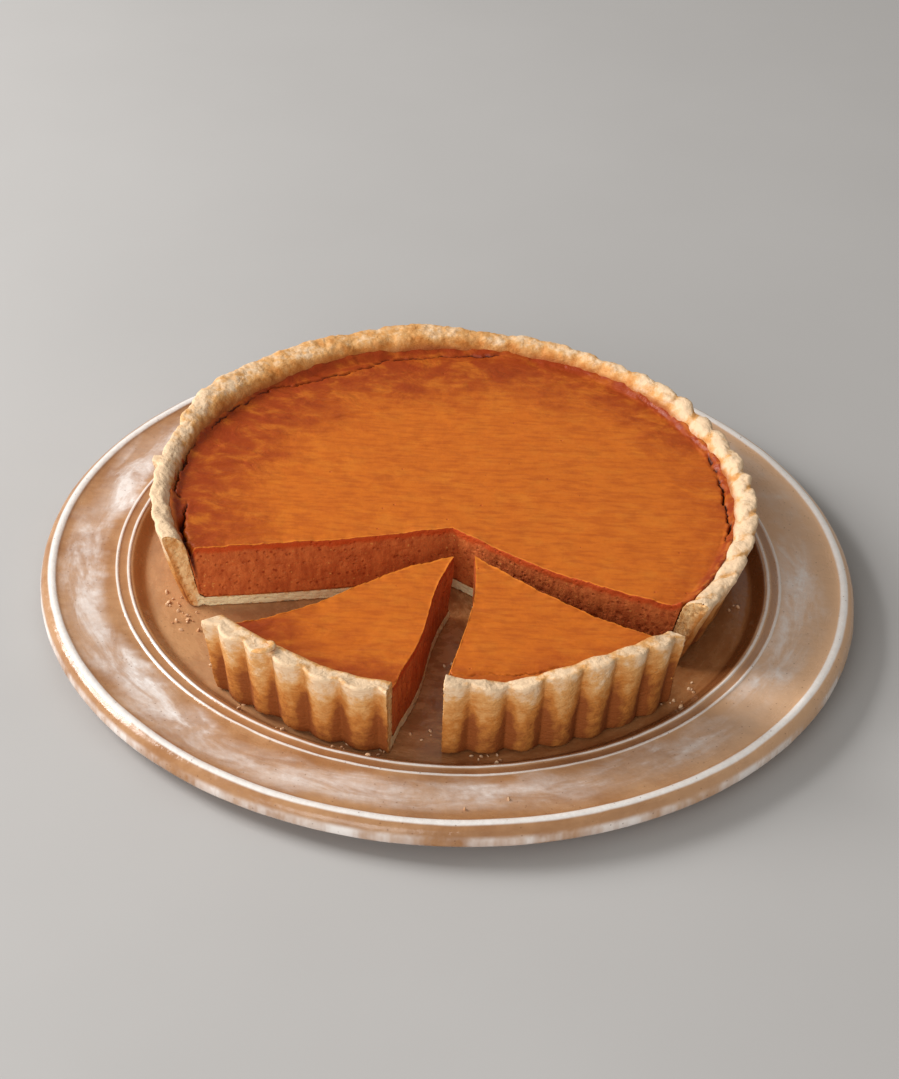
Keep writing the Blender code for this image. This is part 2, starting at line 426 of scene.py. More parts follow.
pastrySizes = {
    "sectionPoints": 62,  # points up each side of the wall's section
    "floorColumns": 70,
    "thicknessRows": 12,
    "flutes": 52,
    "fluteDepth": 0.0033,
    "ropeHeight": 0.0015,
    "ropeSlant": 1.8,
    "lumpSize": 0.0085,
    "grainHeight": 0.00034,
    "grainSize": 0.0030,
    "cutRoughness": 0.0017,
}
rimWaves = ((3, 0.0005, 0.4), (7, 0.0006, 2.1), (13, 0.0004, 5.0))  # count, height, phase


def innerRadius(shape, height):
    share = (height - pastryFloor) / (shape["height"] - pastryFloor)
    return shape["innerFloor"] + (shape["innerRim"] - shape["innerFloor"]) * share


def outerRadius(shape, height):
    return shape["base"] + (shape["rim"] - shape["base"]) * height / shape["height"]


def lumpy(shape, across, radius, height, throughWall):
    # the wall's radius with its lumps, and the lift of its rim; throughWall is 0 outside, 1 inside
    angle = wallAngle(shape, across, radius)
    high = smoothStep(height, 0.010, shape["height"])
    lumps = (1.0 - throughWall) * aroundTable(angle, shape["outerLumps"])
    lumps = lumps + throughWall * aroundTable(angle, shape["innerLumps"])
    lift = aroundTable(angle, shape["rimLift"]) * 0.001
    for count, tall, phase in rimWaves:
        lift = lift + tall * np.sin(count * angle + phase)
    lift = lift * smoothStep(height, 0.018, shape["height"])
    out = 0.001 * lumps * high
    if "tab" in shape:  # a small flap of pastry folded out over the rim
        middle, half, reach = shape["tab"]
        turn = (np.degrees(angle) - middle + 180.0) % 360.0 - 180.0
        flap = np.exp(-(turn / half) ** 6) * smoothStep(height, 0.024, 0.026)
        out = out + reach * flap * (1.0 - smoothStep(throughWall, 0.05, 0.55))
        lift = lift + 0.0007 * flap
    low = (1.0 - smoothStep(height, 0.0, 0.0055)) * smoothStep(
        radius, shape["base"] - 0.0060, shape["base"] - 0.0010) * (1.0 - throughWall)
    frayed = 0.0005 * np.maximum(0.0, ragged(angle, shape["seed"] + 60, 2.7))
    if "notch" in shape:  # where the bottom edge stands clear of the plate
        middle, half, rise = shape["notch"]
        turn = (np.degrees(angle) - middle + 180.0) % 360.0 - 180.0
        frayed = frayed + rise * np.exp(-(turn / half) ** 4) * (0.75 + 0.35 * ragged(angle, 77, 3.0))
    return radius + out, lift + frayed * low


def pastrySection(shape, count):
    top, rim, inner = shape["height"], shape["rim"], shape["innerRim"]
    shoulder, drop = top - 0.0016, shape["innerDrop"]
    corner = pastryFloor + 0.0020
    start = shape["innerFloor"] - 0.0022
    crisp = shape["crisp"]
    apex = (inner + (0.74 + 0.16 * crisp) * (rim - inner), top)
    outside = [(start, 0.0), (shape["base"] - 0.0012, 0.0), (outerRadius(shape, 0.0012), 0.0012),
               (outerRadius(shape, 0.6 * top), 0.6 * top),
               (outerRadius(shape, shoulder) + 0.0004, shoulder),
               (rim + 0.0003 * crisp, top - 0.0002), apex]
    inside = [(start, pastryFloor), (innerRadius(shape, corner), corner),
              (innerRadius(shape, top - 1.3 * drop), top - 1.3 * drop),
              (inner + 0.03 * (rim - inner), top - 0.8 * drop),
              (inner + 0.22 * (rim - inner), top - 0.28 * drop),
              (inner + 0.48 * (rim - inner), top - (0.05 + 0.45 * crisp) * drop), apex]
    return resample(rounded(outside, 2), count), resample(rounded(inside, 2), count)


def buildCase(name, shape):
    sizes = pastrySizes
    outside, inside = pastrySection(shape, sizes["sectionPoints"])
    section = np.vstack([outside, inside[-2::-1]])
    across = np.linspace(0.0, 1.0, shape["steps"] + 1)[:, None]
    radius, height = section[None, :, 0], section[None, :, 1]
    outer, inner = outerRadius(shape, height), innerRadius(shape, height)
    throughWall = np.clip((outer - radius) / (outer - inner), 0.0, 1.0)
    lumpRadius, lift = lumpy(shape, across, radius, height, throughWall)
    x, y = wallPlan(shape, across, lumpRadius)
    place = shape["place"]
    wall = np.stack([x + place[0], y + place[1], height + lift + wellFloor], axis=2)
    ones = np.ones_like(x)
    rimFlute = aroundTable(wallAngle(shape, across, radius), shape["rimFlute"])
    extras = {
        "flutePart": (1.0 - smoothStep(throughWall, 0.0, 1.0)) * (1.0 - (1.0 - rimFlute)
                     * smoothStep(height, 0.62 * shape["height"], 0.97 * shape["height"])) * ones,
        "rimPart": smoothStep(height, shape["height"] - 0.0060, shape["height"] - 0.0006) * ones,
        "ropePart": aroundTable(wallAngle(shape, across, radius), shape["rope"]) * ones,
        "throughWall": throughWall * ones,
        "upWall": height / shape["height"] * ones,
        "toasted": aroundTable(wallAngle(shape, across, radius), shape["toasted"]) * ones,
    }
    sheets = [(wall, 0.0, extras)]
    start = outside[0, 0]
    share = np.linspace(0.0, 1.0, sizes["floorColumns"] + 1)
    rows = np.linspace(0.0, 1.0, sizes["thicknessRows"] + 1)[:, None]
    middle = sizes["sectionPoints"] - 1
    floorEdges = []
    for end, row in ((0.0, 0), (1.0, -1)):
        low, high = wall[row, :middle + 1], wall[row, middle:][::-1]
        cut = low[None] * (1 - rows[..., None]) + high[None] * rows[..., None]
        cutExtras = {}
        for key, value in extras.items():
            outerValue, innerValue = value[row, :middle + 1], value[row, middle:][::-1]
            cutExtras[key] = outerValue[None] * (1 - rows) + innerValue[None] * rows
        sheets.append((cut, 1.0, cutExtras))
        worn = shape.get("tipWear", 0.0)
        shareHere = share + 0.5 * worn / cutLength * (1.0 - share)
        floorX, floorY = insidePlan(shape, end, shareHere, start)
        base = np.stack([floorX + place[0], floorY + place[1], np.full_like(share, wellFloor)], axis=1)
        lid = base + (0.0, 0.0, pastryFloor)
        sheets.append((base[None] * (1 - rows[..., None]) + lid[None] * rows[..., None], 1.0,
                       {"throughWall": np.ones((len(rows), len(share))),
                        "upWall": rows * np.full(len(share), pastryFloor / shape["height"])[None]}))
        floorEdges.append((base, lid))
    caps = []
    for level, ring in ((0, wall[:, 0]), (1, wall[:, -1])):
        caps.append(np.vstack([floorEdges[0][level][:-1], ring, floorEdges[1][level][-2:0:-1]]))
    return addObject(name, closedMesh(name, sheets, caps))


def flutedPastryTree():
    tree, given, result = surfaceTree(
        "flutedPastry", "Flutes, Flute Depth, Rope Height, Rope Slant, Lump Height, Lump Size, "
        "Grain Height, Grain Size, Cut Roughness, Seed", {"Vector": "Middle"})
    spot = output(tree, "GeometryNodeInputPosition")
    away = stretched(vectorCalc("SUBTRACT", spot, given["Middle"]), 1.0, 1.0, 0.0)
    awayX, awayY, _ = axes(away)
    angle = calc("ARCTAN2", awayY, awayX)
    flutePart, rimPart = named(tree, "flutePart"), named(tree, "rimPart")
    ropePart = rimPart * named(tree, "ropePart")
    slant = named(tree, "throughWall") * ropePart * given["Rope Slant"]
    wander = (noise(away, 28.0, 1.0, seed=given["Seed"]) - 0.5) * (ropePart * 3.2 + 1.1)
    wave = calc("COSINE", angle * given["Flutes"] * 0.5 + slant + wander)
    lobe = (wave * wave + 0.015) ** 0.4  # round on the outside, sharp in the grooves
    swing = lobe - 0.74
    strength = spread(noise(spot, 45.0, 1.0, seed=given["Seed"]), 0.3, 0.7, 0.75, 1.2)
    out = swing * given["Flute Depth"] * (flutePart * strength)
    up = swing * given["Rope Height"] * (ropePart * strength)
    inside = spread(named(tree, "throughWall"), 0.35, 0.85) * spread(named(tree, "upWall"), 0.8, 0.9)
    inside = inside * spread(named(tree, "ropePart"), 0.0, 0.5, smooth=False)
    out = out - swing * given["Rope Height"] * inside * 0.55
    radial = vectorCalc("SCALE", vectorCalc("NORMALIZE", away), out)
    marked = output(tree, "GeometryNodeStoreNamedAttribute", {"data_type": "FLOAT", "domain": "POINT"},
                    {"Geometry": given["Mesh"], "Name": "lobe", "Value": lobe})
    fluted = moved(marked, vectorCalc("ADD", radial, joined(0.0, 0.0, up)))
    # lumps, grain and the torn cut ends, along the fluted surface's own normals
    cut = named(tree, "cutFace")
    lumps = noise(spot, 1.0 / given["Lump Size"], 2.0, 0.5, seed=given["Seed"]) - 0.5
    lumps = lumps * given["Lump Height"] * (rimPart * 0.85 + 0.15)
    chips = noise(spot, 2.6 / given["Lump Size"], 2.0, 0.6, 0.5, seed=given["Seed"]) - 0.5
    lumps = lumps + chips * given["Lump Height"] * (rimPart * 0.42 + 0.06)
    grain = noise(spot, 1.0 / given["Grain Size"], 3.0, 0.6, seed=given["Seed"]) - 0.5
    grain = grain * given["Grain Height"]
    flat = stretched(spot, 1.0, 1.0, 1.9)
    torn = noise(flat, 620.0, 3.0, 0.65, 0.6, seed=given["Seed"])
    holes = spread(cells(flat, 330.0), 0.1, 0.42, 1.0, 0.0)
    tearing = (torn - 0.5 - holes * 0.7) * given["Cut Roughness"] * cut
    return finishTree(tree, given, result, raised(fluted, lumps + grain + tearing))


# the custard filling

fillingSizes = {
    "farSteps": 84,  # from the tip to the band beside the pastry
    "nearSteps": 30,
    "nearBand": 0.012,
    "rows": 38,
    "collarWidth": 0.0046,
    "collarRise": 0.0019,
    "edgeSway": 0.00042,  # how far the cut edge rises and dips
    "edgeFringe": 0.00022,
    "swellHeight": 0.0009,
    "swellSize": 0.032,
    "dimpleHeight": 0.00030,
    "dimpleSize": 0.0065,
    "pitDepth": 0.0011,
    "pitSize": 0.0026,
    "streakHeight": 0.0005,
    "tearHeight": 0.0009,
    "driedHeight": 0.0011,
    "driedSize": 0.0034,
}
# by angle in degrees: how far the split beside the pastry lies from it, its depth and its half
# width, in mm
crackPaths = {
    "main": {
        "away": ((-157, 2.0), (-164, 4.0), (-170, 5.6), (-173, 5.8), (-176, 1.2), (170, 1.7),
                 (150, 1.9), (138, 2.8), (131, 5.6), (125, 7.6), (119, 8.6), (112, 8.2),
                 (106, 5.2), (98, 4.4), (85, 3.4), (60, 2.0), (18, 3.0), (5, 3.6), (-8, 3.2),
                 (-20, 2.0)),
        "depth": ((-157, 11.0), (-162, 8.0), (-168, 4.0), (-172, 1.0), (-174, 0.0), (-176, 2.6),
                  (176, 3.0), (168, 1.8), (160, 0.3), (154, 2.0), (146, 1.2), (141, 0.4), (136, 2.2),
                  (128, 2.2), (122, 0.7), (117, 2.4), (110, 2.6), (104, 2.0), (99, 0.6), (92, 1.2),
                  (86, 1.6), (80, 0.3), (60, 0.2), (30, 0.3), (20, 0.6), (16, 2.4), (12, 0.6),
                  (6, 2.6), (0, 0.8), (-6, 2.6), (-11, 1.0), (-14, 0.1), (-25, 0.0)),
        "width": ((-157, 1.45), (-163, 0.80), (-168, 0.45), (180, 0.55), (150, 0.38), (112, 0.50),
                  (60, 0.35), (6, 0.55), (-20, 0.3)),
    },
    "slice_left": {"away": ((-130, 2.0),), "depth": ((-130, 0.0),), "width": ((-130, 0.4),)},
    "slice_right": {
        "away": ((-96, 8.2), (-88, 8.8), (-80, 9.6), (-70, 8.6), (-66, 7.6)),
        "depth": ((-96, 0.55), (-84, 0.6), (-74, 0.5), (-68, 0.3), (-64, 0.0), (-50, 0.0)),
        "width": ((-70, 0.35),),
    },
}


def buildFilling(name, shape, crack):
    sizes = fillingSizes
    steps = int(shape["steps"] * 0.66)
    across = np.linspace(0.0, 1.0, steps + 1)[:, None]
    high = innerRadius(shape, fillingTop)
    wallRadius, lift = lumpy(shape, across, high, np.array(fillingTop), 1.0)
    inward = smoothStep(np.minimum(across, 1.0 - across), 0.0, 0.010)  # 0 at the two cuts
    edge = wallRadius - pieGap + (pieGap + pressedIn) * inward
    wallX, wallY = wallPlan(shape, across, edge)
    length = np.hypot(wallX - shape["tip"][0], wallY - shape["tip"][1])
    far = np.linspace(0.0, 1.0, sizes["farSteps"] + 1)[None, :-1] * (1 - sizes["nearBand"] / length)
    near = 1 - sizes["nearBand"] / length * np.linspace(1.0, 0.0, sizes["nearSteps"] + 1)[None]
    share = np.concatenate([far, near], axis=1)
    x, y = insidePlan(shape, across, share, edge)
    angle = np.arctan2(y, x)
    fromWall = (1 - share) * length
    collar = sizes["collarRise"] * (1 - smoothStep(fromWall, 0.0, sizes["collarWidth"]))
    collar = collar * (1.0 + 0.45 * ragged(angle, shape["seed"] + 20))
    crackAway = 0.001 * (aroundTable(angle, crack["away"]) + 1.2 * ragged(angle, shape["seed"], 2.3))
    crackDepth = 0.001 * np.maximum(
        0.0, aroundTable(angle, crack["depth"]) * (1 + 0.8 * ragged(angle, shape["seed"] + 9, 1.7)))
    splitWidth = 0.001 * aroundTable(angle, crack["width"])
    splitWidth = splitWidth * (1 + 0.4 * ragged(angle, shape["seed"] + 4, 3.1))
    offset = (fromWall - np.maximum(crackAway, 0.0009)) / splitWidth
    split = np.exp(-offset * offset)
    topHeight = fillingTop + collar - crackDepth * split
    place = shape["place"]
    plan = np.stack([x, y], axis=2)
    fromCut = np.minimum(np.linalg.norm(plan - plan[:1], axis=2), np.linalg.norm(plan - plan[-1:], axis=2))
    along = share * length / 0.10
    uneven = ragged(along * 2.2, shape["seed"] + 31) * np.exp(-(fromCut / 0.0040) ** 2)
    fringe = (0.6 + ragged(along * 9.0, shape["seed"] + 41)) * np.exp(-(fromCut / 0.0008) ** 2)
    topHeight = topHeight + sizes["edgeSway"] * uneven + sizes["edgeFringe"] * fringe
    top = np.stack([x + place[0], y + place[1], topHeight + wellFloor], axis=2)
    crackShare = split * np.clip(crackDepth / 0.0012, 0.0, 1.0)
    sheets = [(top, 0.0, {"fromWall": fromWall, "fromCut": fromCut, "crack": crackShare})]
    # the outside, from the collar down to the pastry floor
    down = np.linspace(0.0, 1.0, sizes["rows"] + 1)
    bottom = pastryFloor + pieGap
    corner = pastryFloor + 0.0020
    levels = topHeight[:, -1:] * (1 - down) + bottom * down
    plain = innerRadius(shape, levels)
    outerEdge, _ = lumpy(shape, across, plain, levels, 1.0)
    tuck = (0.0022 + 1.2 * pieGap) * np.clip((corner + pieGap - levels) / (corner - pastryFloor), 0, 1)
    pressed = (pieGap + pressedIn) * inward * smoothStep(levels, fillingTop - 0.006, fillingTop)
    outerEdge = outerEdge - pieGap - tuck + pressed
    outerEdge[:, 0] = edge[:, 0]
    sideX, sideY = wallPlan(shape, across, outerEdge)
    side = np.stack([sideX + place[0], sideY + place[1], levels + wellFloor], axis=2)
    sheets.append((side, 0.0, {"depth": topHeight[:, -1:] - levels}))
    lowEdges = []
    for end, row in ((0.0, 0), (1.0, -1)):
        radius = outerEdge[row][:, None]
        sharesHere = share[row][None, :] * np.ones_like(radius)
        worn = shape.get("tipWear", 0.0) * smoothStep(down, 0.25, 0.95)[:, None]
        sharesHere = sharesHere + worn / length[row] * (1 - sharesHere)
        cutX, cutY = insidePlan(shape, end, sharesHere, radius)
        heights = topHeight[row][None, :] * (1 - down[:, None]) + bottom * down[:, None]
        cut = np.stack([cutX + place[0], cutY + place[1], heights + wellFloor], axis=2)
        sheets.append((cut, 1.0, {
            "depth": topHeight[row][None, :] - heights,
            "fromWall": np.ones_like(heights) * fromWall[row][None, :],
            "crack": np.ones_like(heights) * crackShare[row][None, :] * (1 - down[:, None])}))
        lowEdges.append(cut[-1])
    caps = [np.vstack([lowEdges[0][:-1], side[:, -1], lowEdges[1][-2:0:-1]])]
    return addObject(name, closedMesh(name, sheets, caps))


def custardTree():
    tree, given, result = surfaceTree(
        "custardSurface", "Swell Height, Swell Size, Dimple Height, Dimple Size, Pit Depth, Pit Size, "
        "Streak Height, Tear Height, Dried Height, Dried Size, Seed")
    spot = output(tree, "GeometryNodeInputPosition")
    cut = named(tree, "cutFace")
    whole = limited(1.0 - cut)

    def bumps(vector, size, height, detail, mask):
        return (noise(vector, 1.0 / size, detail, seed=given["Seed"]) - 0.5) * height * mask

    swell = bumps(spot, given["Swell Size"], given["Swell Height"], 2.0, whole)
    dimple = bumps(spot, given["Dimple Size"], given["Dimple Height"], 3.0, whole)
    upright = stretched(spot, 1.0, 1.0, 0.3)
    streak = bumps(upright, 0.0035, given["Streak Height"], 4.0, cut)
    tear = bumps(spot, 0.0062, given["Tear Height"], 3.0, cut)
    pits = spread(cells(spot, 1.0 / given["Pit Size"]), 0.08, 0.4, 1.0, 0.0)
    few = spread(noise(spot, 160.0, 1.0, seed=given["Seed"]), 0.42, 0.62)
    pits = pits * few * given["Pit Depth"] * cut
    beside = spread(named(tree, "fromWall"), 0.0085, 0.003) * spread(named(tree, "depth"), 0.004, 0.001)
    beside = whole * beside
    dried = bumps(spot, given["Dried Size"], given["Dried Height"], 3.0, beside)
    total = swell + dimple + (streak + tear) + dried - pits
    return finishTree(tree, given, result, raised(given["Mesh"], total))


# the plate

plateSizes = {
    "steps": 560,
    "floorTop": 0.0095, "floorRadius": 0.1238, "lipRadius": 0.1286, "rimTop": 0.0141,
    "rings": (0.1302, 0.1348), "ringHalfWidth": 0.0009, "ringHeight": 0.0006,
    "ridge": 0.1608, "ridgeHalfWidth": 0.0020, "ridgeHeight": 0.0010,
    "edge": 0.1657, "edgeDrop": 0.0055,
    "footRadius": 0.1040, "footWidth": 0.0060, "footHeight": 0.0032,
    "wobble": 0.0009, "seed": 2,
}


def plateSection():
    s = plateSizes
    top = [(0.0, s["floorTop"]), (0.060, s["floorTop"]), (s["floorRadius"] - 0.004, s["floorTop"]),
           (s["floorRadius"], s["floorTop"] + 0.0002), (s["lipRadius"] - 0.0006, s["rimTop"] - 0.0003)]
    top.append((s["lipRadius"] + 0.0002, s["rimTop"]))
    for ring in s["rings"]:
        for part, rise in ((-1.0, 0.0), (-0.4, 0.9), (0.0, 1.0), (0.4, 0.9), (1.0, 0.0)):
            top.append((ring + part * s["ringHalfWidth"], s["rimTop"] + rise * s["ringHeight"]))
    top += [(0.1400, s["rimTop"] - 0.0002), (0.1500, s["rimTop"] - 0.0003)]
    for part, rise in ((-1.3, -0.2), (-0.6, 0.7), (0.0, 1.0), (0.6, 0.7), (1.2, 0.0)):
        top.append((s["ridge"] + part * s["ridgeHalfWidth"], s["rimTop"] + rise * s["ridgeHeight"]))
    edge, low = s["edge"], s["rimTop"] - s["edgeDrop"]
    top += [(edge - 0.0013, s["rimTop"] - 0.0010), (edge - 0.0005, s["rimTop"] - 0.0028),
            (edge, low), (edge - 0.0004, low - 0.0018), (edge - 0.0022, low - 0.0030)]
    foot, width = s["footRadius"], s["footWidth"]
    under = [(s["lipRadius"] + 0.0020, s["rimTop"] - 0.0060),
             (s["floorRadius"] - 0.0060, s["floorTop"] - 0.0060),
             (foot + 0.0010, s["footHeight"]), (foot + 0.0004, 0.0003), (foot - 0.0004, 0.0),
             (foot - width + 0.0004, 0.0), (foot - width - 0.0004, 0.0003),
             (foot - width - 0.0010, s["footHeight"]), (0.050, s["footHeight"]),
             (0.0, s["footHeight"])]
    return rounded(top, 2), rounded(under, 1)


def buildPlate():
    top, under = plateSection()
    line = np.vstack([top, under])
    turn = np.linspace(0.0, 2 * math.pi, plateSizes["steps"] + 1)[:, None]
    radius, height = line[None, :, 0], line[None, :, 1]
    sheet = np.stack([radius * np.cos(turn), radius * np.sin(turn), height + 0 * turn], axis=2)
    return addObject("glazedPlate", closedMesh("glazedPlate", [(sheet, 0.0, {})], []))


def potteryTree():
    tree, given, result = surfaceTree("thrownPlate", "Wobble, Seed")
    spot = output(tree, "GeometryNodeInputPosition")
    aboveFoot = spread(axes(spot)[2], 0.004, 0.009)
    sway = (noise(spot, 42.0, 2.0, seed=given["Seed"]) - 0.5) * given["Wobble"] * aboveFoot
    return finishTree(tree, given, result, raised(given["Mesh"], sway))


# shared shader effects: cloudy patches, and the height of a fine grain

def patchGroup():
    tree, given, result = newTree("cloudyPatches", "ShaderNodeTree", {
        "Vector": "Vector", "Float": "Size, Softness"}, {"Float": "Mask"})
    scale = 1.0 / given["Size"]
    broad = noise(given["Vector"], scale, 2.0, 0.5)
    fine = noise(given["Vector"], scale * 4.3, 3.0, 0.6)
    feed(result["Mask"], spread(broad * 0.68 + fine * 0.32, 0.5 - given["Softness"],
                                0.5 + given["Softness"]))
    return tree


def grainGroup():
    tree, given, result = newTree("fineGrain", "ShaderNodeTree", {
        "Vector": "Vector", "Float": "Size"}, {"Float": "Height, Pores"})
    scale = 1.0 / given["Size"]
    feed(result["Height"], noise(given["Vector"], scale, 4.0, 0.62))
    feed(result["Pores"], spread(cells(given["Vector"], scale * 0.55), 0.05, 0.3, 1.0, 0.0))
    return tree


cloudyPatches = patchGroup()
fineGrain = grainGroup()


def placeGroup(group, inputs):
    node = addNode(treeOf(*inputs.values()), "ShaderNodeGroup", {"node_tree": group}, inputs)
    return {socket.name: Value(socket) for socket in node.outputs}


def patches(vector, size, softness):
    return placeGroup(cloudyPatches, {"Vector": vector, "Size": size, "Softness": softness})["Mask"]


def newMaterial(name):
    # the material, its tree, its shader's inputs and the place on the piece
    made = bpy.data.materials.new(name)
    made.use_nodes = True
    shader = made.node_tree.nodes["Principled BSDF"].inputs
    return made, made.node_tree, shader, output(made.node_tree, "ShaderNodeTexCoord", out="Object")


def rampColour(value, stops):
    node = addNode(treeOf(value), "ShaderNodeValToRGB", None, {0: value})
    ramp = node.color_ramp
    while len(ramp.elements) < len(stops):
        ramp.elements.new(0.5)
    for element, (position, colour) in zip(ramp.elements, stops):
        element.position = position
        element.color = (*colour, 1.0)
    return Value(node.outputs[0])


def bumpNormal(height, distance, strength, under=None):
    inputs = {"Height": height, "Distance": distance, "Strength": strength}
    if under is not None:
        inputs["Normal"] = under
    return output(treeOf(height), "ShaderNodeBump", None, inputs)


pastryColours = {
    "cream": (0.83, 0.59, 0.37), "paleGold": (0.71, 0.365, 0.125),
    "golden": (0.55, 0.200, 0.036), "brown": (0.29, 0.074, 0.012),
    "inside": (0.84, 0.54, 0.25), "insideDark": (0.62, 0.29, 0.085),
    "underside": (0.80, 0.69, 0.42), "stain": (0.36, 0.095, 0.020),
    "crustLine": (0.56, 0.205, 0.036),
}


def pastryMaterial():
    c = pastryColours
    made, tree, shader, spot = newMaterial("bakedPastry")
    lobe, upWall, rimPart = kept(tree, "lobe"), kept(tree, "upWall"), kept(tree, "rimPart")
    through, cut, flutePart = kept(tree, "throughWall"), kept(tree, "cutFace"), kept(tree, "flutePart")
    ropePart = kept(tree, "ropePart")
    patch = patches(spot, 0.011, 0.22)
    freckle = patches(spot, 0.0032, 0.16)
    # how dark the outside is made: least at the rim and most low down where it browns; darker in the grooves,
    # part browning and part painted shade; painted shade in the rope's hollows; darker on the inside face;
    # and darker or lighter round the rim by angle
    low = spread(upWall, 0.96, 0.2) * 0.62
    # darker in the flute grooves: partly real browning, partly painted shade in the creases
    grooveToastAndShade = spread(lobe, 1.0, 0.22) * flutePart * (low * 1.1 + 0.12)
    # painted shade: the hollows between the rope's lumps on the rim are made darker
    hollowShade = spread(lobe, 0.72, 0.3) * (rimPart * 0.24) * (patch * 0.9 + 0.45) * ropePart
    mottled = (patch - 0.5) * 0.32 + (freckle - 0.5) * 0.24
    inner = spread(through, 0.55, 0.95) * (0.36 - 0.3 * ropePart)
    # the crust is also set darker or lighter round the rim by the per-angle table
    toastAndShade = low + (grooveToastAndShade + hollowShade) + mottled + inner + kept(tree, "toasted")
    toastAndShade = limited(0.12 - 0.14 * rimPart + toastAndShade)
    skin = rampColour(toastAndShade, ((0.0, c["cream"]), (0.27, c["paleGold"]), (0.58, c["golden"]),
                              (1.0, c["brown"])))
    stain = spread(through, 0.7, 0.98) * spread(upWall, 0.93, 0.85) * (patch * 0.5 + 0.5)
    skin = mixColour(stain, skin, c["stain"])
    # the crumb at the cuts, its floor and the line of its outer skin
    flakes = noise(stretched(spot, 1.0, 1.0, 0.35), 520.0, 4.0, 0.65, 0.4)
    crumbColour = mixColour(spread(flakes, 0.36, 0.62), c["insideDark"], c["inside"])
    isFloor = spread(upWall, 0.2, 0.11) * spread(through, 0.5, 0.9)
    crumbColour = mixColour(isFloor * 0.85, crumbColour, c["underside"])
    outerSkin = spread(freckle * 0.16 + through, 0.42, 0.16) * spread(upWall, 0.97, 0.8)
    crumbColour = mixColour(outerSkin * 0.85, crumbColour, c["crustLine"])
    feed(shader["Base Color"], mixColour(cut, skin, crumbColour))
    grain = placeGroup(fineGrain, {"Vector": spot, "Size": 0.0012})
    feed(shader["Roughness"], spread(grain["Height"], 0.3, 0.7, 0.62, 0.84))
    rough = grain["Height"] - grain["Pores"] * (cut * 0.3 + 0.06)
    wrinkle = noise(stretched(spot, 1.0, 1.0, 2.4), 230.0, 3.0, 0.55, 0.9)
    folds = noise(stretched(spot, 1.0, 1.0, 0.1), 210.0, 2.0, 0.5, 0.6)
    coarse = bumpNormal(folds * (rimPart * 0.9) + wrinkle, 0.0012, 0.52)
    feed(shader["Normal"], bumpNormal(rough, 0.0005, 0.55, coarse))
    feed(shader["Specular IOR Level"], 0.32)
    return made


custardColours = {
    "centre": (0.645, 0.157, 0.012), "outer": (0.34, 0.050, 0.005), "edgeLine": (0.78, 0.23, 0.022),
    "skin": (0.50, 0.060, 0.008), "body": (0.60, 0.150, 0.036), "bodyDark": (0.44, 0.088, 0.020),
    # split: painted shade, the near black inside the crack
    "fleck": (0.74, 0.34, 0.085), "split": (0.085, 0.012, 0.003), "band": (0.29, 0.036, 0.005),
    "blotch": (0.27, 0.030, 0.004), "bright": (0.66, 0.185, 0.016), "crustward": (0.47, 0.115, 0.016),
}


